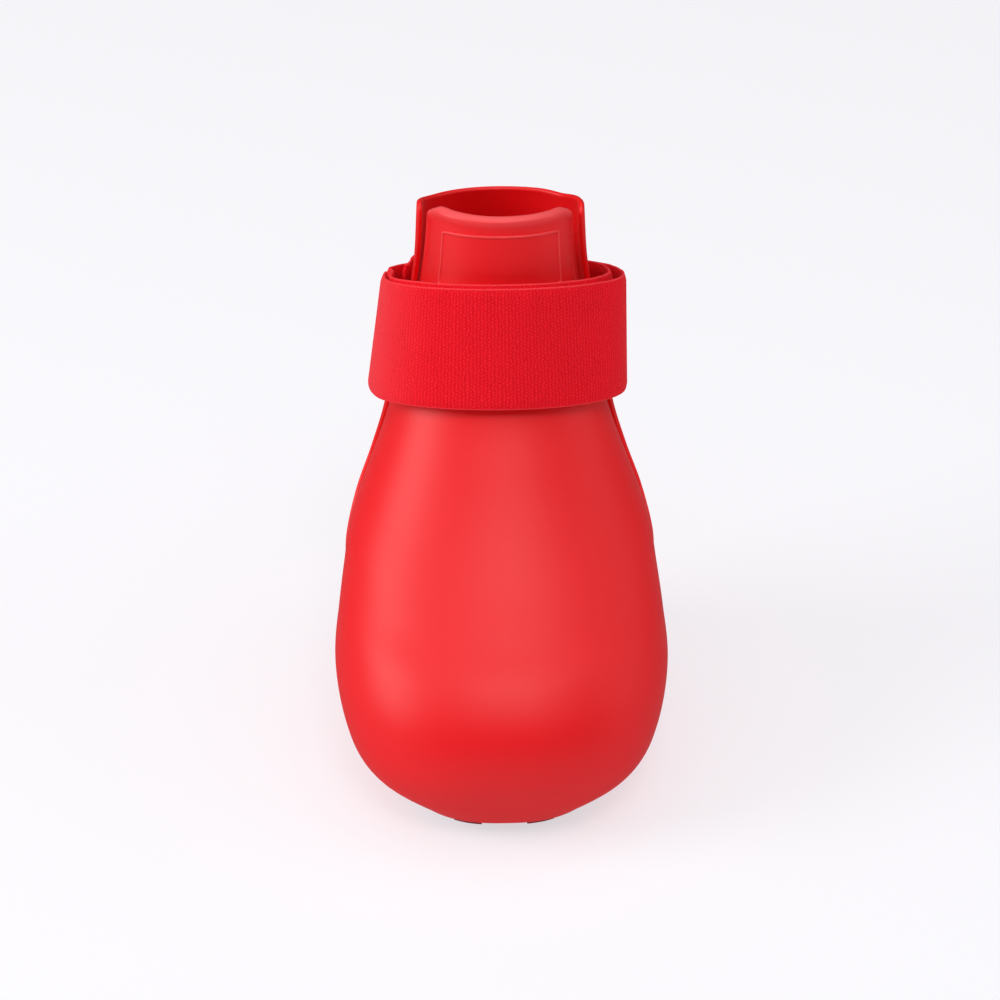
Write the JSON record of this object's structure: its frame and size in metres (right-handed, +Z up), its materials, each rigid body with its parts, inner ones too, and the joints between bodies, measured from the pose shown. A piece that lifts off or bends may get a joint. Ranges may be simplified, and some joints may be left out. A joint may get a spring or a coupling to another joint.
{
  "type": "dog bootie",
  "caption": "Moulded rubber dog boot with a bulbous toe box, a tapering shaft with front flap and back panel, a low lugged sole and a wound webbing strap.",
  "frame": {"origin": "on the ground, under the middle of the boot's bounding box, strap included", "axes": "+Z up the shaft, -Y towards the toe, +X towards the boot's own left as its wearer stands in it"},
  "size_m": [0.0674, 0.0899, 0.1102],
  "materials": {
    "upper_rubber": "satin moulded rubber with a very fine grain",
    "panel_rubber": "satin moulded rubber",
    "sole_rubber": "matt moulded rubber",
    "webbing": "matt woven webbing with a fuzzy loop face"
  },
  "bodies": {
    "root": {"upper": "upper_rubber", "back_panel": "panel_rubber", "outsole": "sole_rubber", "strap": "webbing"}
  },
  "joints": []
}
